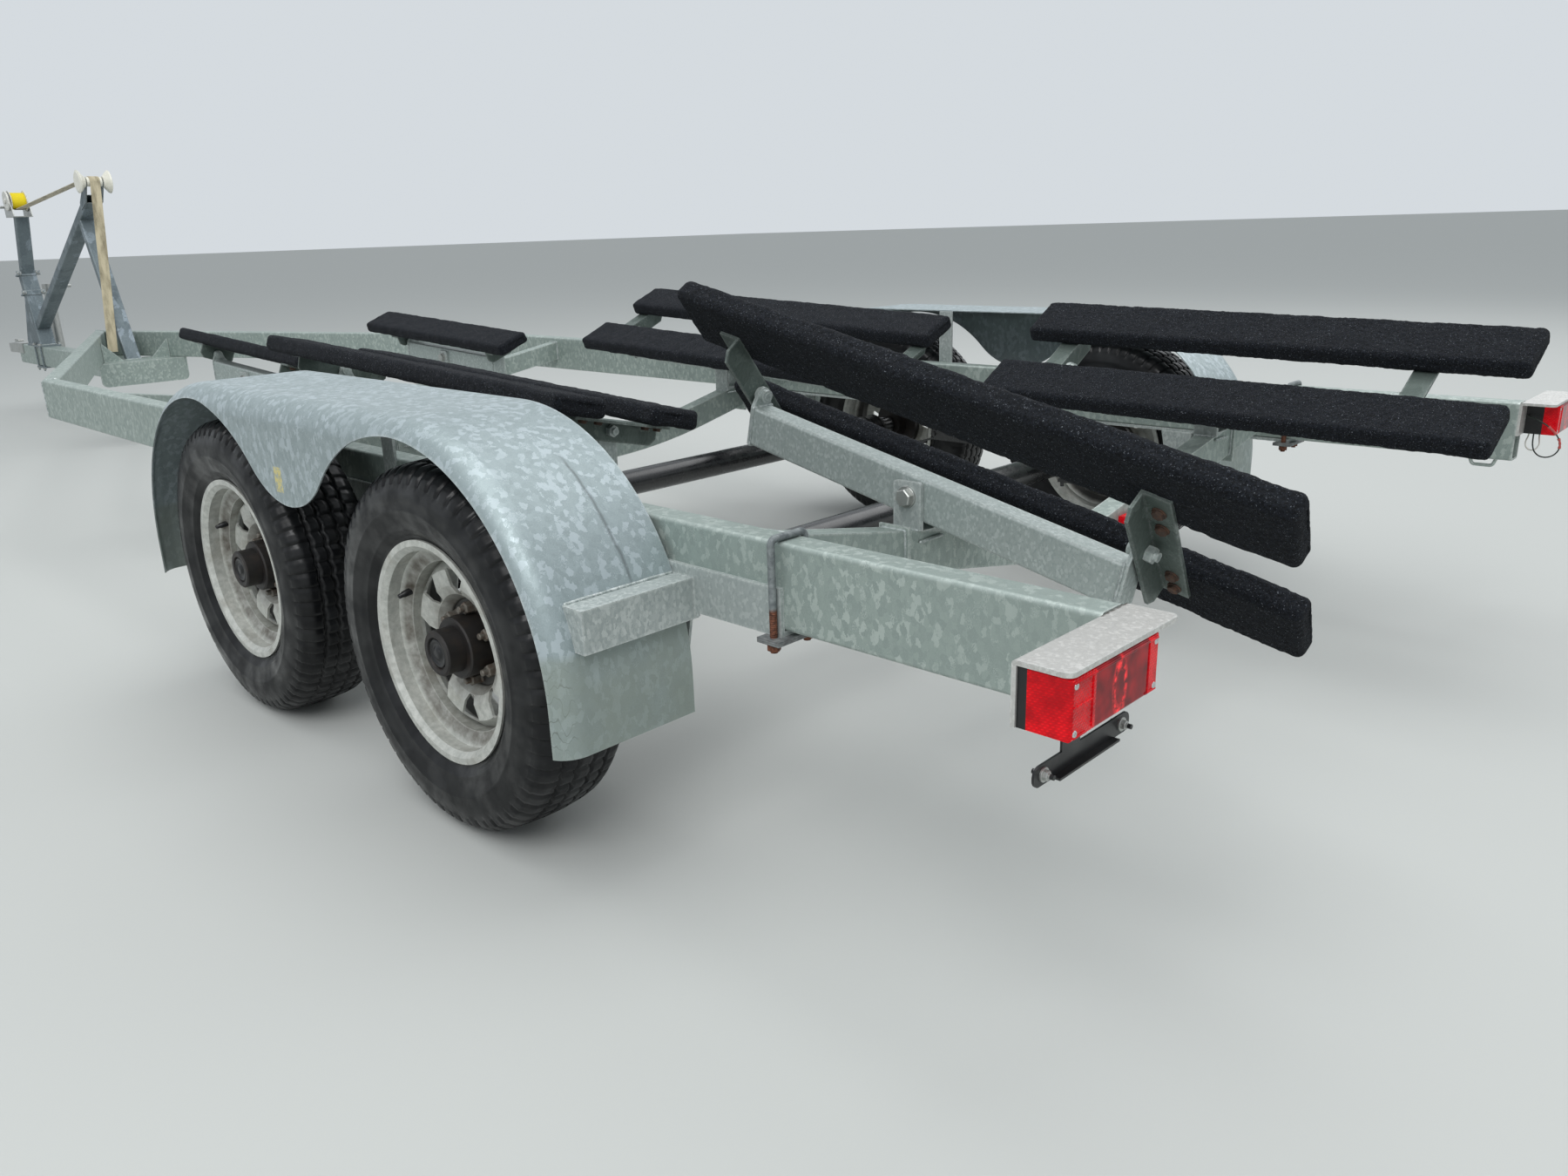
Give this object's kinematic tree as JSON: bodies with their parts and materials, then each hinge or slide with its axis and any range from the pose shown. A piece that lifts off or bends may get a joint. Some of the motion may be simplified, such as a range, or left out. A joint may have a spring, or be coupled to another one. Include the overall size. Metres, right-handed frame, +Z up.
{
  "type": "boat trailer",
  "caption": "Galvanised tandem-axle boat trailer with pivoting carpeted bunks, fenders, a winch stand, rear lamps and a swivel jack.",
  "frame": {"origin": "on the ground, under the middle of the trailer's length and width", "axes": "+X towards the coupler, +Y to the trailer's left, +Z up"},
  "size_m": [9.0808, 2.59, 1.521],
  "materials": {
    "axle_black": "black painted steel",
    "carpet": "black carpet wrapped round timber boards",
    "dark_steel": "dull grey galvanised steel",
    "galvanised": "spangled hot-dip galvanised steel",
    "hub": "dark weathered casting",
    "lamp_black": "black moulded housing",
    "lens": "clear red moulded lens",
    "rim": "galvanised pressed steel wheel",
    "roller": "cream moulded roller",
    "rust": "rusted steel bolt",
    "tyre": "black rubber",
    "webbing": "faded beige polyester webbing",
    "wire": "plastic insulated wire",
    "zinc": "zinc plated steel"
  },
  "bodies": {
    "frame": {"axles": "axle_black", "bunk_clevises": "galvanised", "coupler": "zinc", "crossmember_front": "galvanised", "crossmember_middle": "galvanised", "crossmember_rear": "galvanised", "draw_beam_left": "galvanised", "draw_beam_right": "galvanised", "fender_left": "galvanised", "fender_right": "galvanised", "frame_clamps": "rust", "lamp_guards": "galvanised", "lamp_housings": "lamp_black", "lamp_lenses": "lens", "lamp_wire_long": "wire", "lamp_wire_short": "wire", "leaf_springs": "axle_black", "rail_left": "galvanised", "rail_right": "galvanised", "sub_rails": "galvanised", "tongue_tube": "galvanised", "winch_brace": "dark_steel", "winch_crossmember": "dark_steel", "winch_frame": "zinc", "winch_post": "dark_steel", "winch_strap": "webbing"},
    "wheel_rear_left": {"tyre_rear_left": "tyre", "rim_rear_left": "rim", "hub_rear_left": "hub"},
    "wheel_front_left": {"tyre_front_left": "tyre", "rim_front_left": "rim", "hub_front_left": "hub"},
    "wheel_rear_right": {"tyre_rear_right": "tyre", "rim_rear_right": "rim", "hub_rear_right": "hub"},
    "wheel_front_right": {"tyre_front_right": "tyre", "rim_front_right": "rim", "hub_front_right": "hub"},
    "bow_roller": {"bow_roller": "roller"},
    "winch_drum": {"winch_drum": "zinc"},
    "jack": {"jack_outer": "zinc"},
    "jack_foot": {"jack_inner": "zinc"},
    "bunk_arm_aft_left": {"bunk_beam_aft_left": "galvanised"},
    "bunk_pad_aft_left": {"bunk_angles_aft_left": "dark_steel", "bunk_boards_aft_left": "carpet"},
    "bunk_arm_aft_right": {"bunk_beam_aft_right": "galvanised"},
    "bunk_pad_aft_right": {"bunk_angles_aft_right": "dark_steel", "bunk_boards_aft_right": "carpet"},
    "bunk_arm_mid_left": {"bunk_beam_mid_left": "galvanised"},
    "bunk_pad_mid_left": {"bunk_angles_mid_left": "dark_steel", "bunk_boards_mid_left": "carpet"},
    "bunk_arm_mid_right": {"bunk_beam_mid_right": "galvanised"},
    "bunk_pad_mid_right": {"bunk_angles_mid_right": "dark_steel", "bunk_boards_mid_right": "carpet"},
    "bunk_arm_front_left": {"bunk_beam_front_left": "galvanised"},
    "bunk_pad_front_left": {"bunk_angles_front_left": "dark_steel", "bunk_boards_front_left": "carpet"},
    "bunk_arm_front_right": {"bunk_beam_front_right": "galvanised"},
    "bunk_pad_front_right": {"bunk_angles_front_right": "dark_steel", "bunk_boards_front_right": "carpet"}
  },
  "joints": [
    {"name": "wheel_spin_rear_left", "type": "hinge", "parent": "frame", "child": "wheel_rear_left", "pos_m": [-3.26506, 1.171, 0.343], "axis": [0, 1, 0], "continuous": true},
    {"name": "wheel_spin_front_left", "type": "hinge", "parent": "frame", "child": "wheel_front_left", "pos_m": [-2.40256, 1.171, 0.343], "axis": [0, 1, 0], "continuous": true},
    {"name": "wheel_spin_rear_right", "type": "hinge", "parent": "frame", "child": "wheel_rear_right", "pos_m": [-3.26506, -1.171, 0.343], "axis": [0, 1, 0], "continuous": true},
    {"name": "wheel_spin_front_right", "type": "hinge", "parent": "frame", "child": "wheel_front_right", "pos_m": [-2.40256, -1.171, 0.343], "axis": [0, 1, 0], "continuous": true},
    {"name": "roller_spin", "type": "hinge", "parent": "frame", "child": "bow_roller", "pos_m": [2.21244, 0, 1.405], "axis": [0, 1, 0], "continuous": true},
    {"name": "drum_turn", "type": "hinge", "parent": "frame", "child": "winch_drum", "pos_m": [3.73944, 0, 1.362], "axis": [0, 1, 0], "continuous": true},
    {"name": "jack_swivel", "type": "hinge", "parent": "frame", "child": "jack", "pos_m": [4.04944, -0.148, 0.398], "axis": [0, 1, 0], "range_deg": [0, 90]},
    {"name": "jack_slide", "type": "slide", "parent": "jack", "child": "jack_foot", "axis": [0, 0, -1], "range_m": [-0.18, 0.14]},
    {"name": "pitch_aft_left", "type": "hinge", "parent": "frame", "child": "bunk_arm_aft_left", "pos_m": [-3.84056, 0.6, 0.592], "axis": [0, -1, 0], "range_deg": [-18.5, 1]},
    {"name": "roll_aft_left", "type": "hinge", "parent": "bunk_arm_aft_left", "child": "bunk_pad_aft_left", "pos_m": [-3.85354, 0.6, 0.65058], "axis": [0.9763, 0, 0.2164], "range_deg": [-53, 1]},
    {"name": "pitch_aft_right", "type": "hinge", "parent": "frame", "child": "bunk_arm_aft_right", "pos_m": [-3.84056, -0.6, 0.592], "axis": [0, -1, 0], "range_deg": [-7.5, 12]},
    {"name": "roll_aft_right", "type": "hinge", "parent": "bunk_arm_aft_right", "child": "bunk_pad_aft_right", "pos_m": [-3.84213, -0.6, 0.65198], "axis": [-0.9997, 0, -0.0262], "range_deg": [-35, 19]},
    {"name": "pitch_mid_left", "type": "hinge", "parent": "frame", "child": "bunk_arm_mid_left", "pos_m": [-2.07056, 0.62, 0.612], "axis": [0, -1, 0], "range_deg": [-6.8, 3.2]},
    {"name": "roll_mid_left", "type": "hinge", "parent": "bunk_arm_mid_left", "child": "bunk_pad_mid_left", "pos_m": [-2.07349, 0.62, 0.67193], "axis": [0.9988, 0, 0.0488], "range_deg": [-18, 27]},
    {"name": "pitch_mid_right", "type": "hinge", "parent": "frame", "child": "bunk_arm_mid_right", "pos_m": [-2.07056, -0.62, 0.612], "axis": [0, -1, 0], "range_deg": [-6.8, 3.2]},
    {"name": "roll_mid_right", "type": "hinge", "parent": "bunk_arm_mid_right", "child": "bunk_pad_mid_right", "pos_m": [-2.07349, -0.62, 0.67193], "axis": [-0.9988, 0, -0.0488], "range_deg": [-29, 16]},
    {"name": "pitch_front_left", "type": "hinge", "parent": "frame", "child": "bunk_arm_front_left", "pos_m": [-0.55056, 0.42, 0.566], "axis": [0, -1, 0], "range_deg": [-11, 7]},
    {"name": "roll_front_left", "type": "hinge", "parent": "bunk_arm_front_left", "child": "bunk_pad_front_left", "pos_m": [-0.5537, 0.42, 0.62592], "axis": [0.9986, 0, 0.0523], "range_deg": [-26, 19]},
    {"name": "pitch_front_right", "type": "hinge", "parent": "frame", "child": "bunk_arm_front_right", "pos_m": [-0.55056, -0.42, 0.566], "axis": [0, -1, 0], "range_deg": [-11, 7]},
    {"name": "roll_front_right", "type": "hinge", "parent": "bunk_arm_front_right", "child": "bunk_pad_front_right", "pos_m": [-0.5537, -0.42, 0.62592], "axis": [-0.9986, 0, -0.0523], "range_deg": [-26, 19]}
  ]
}
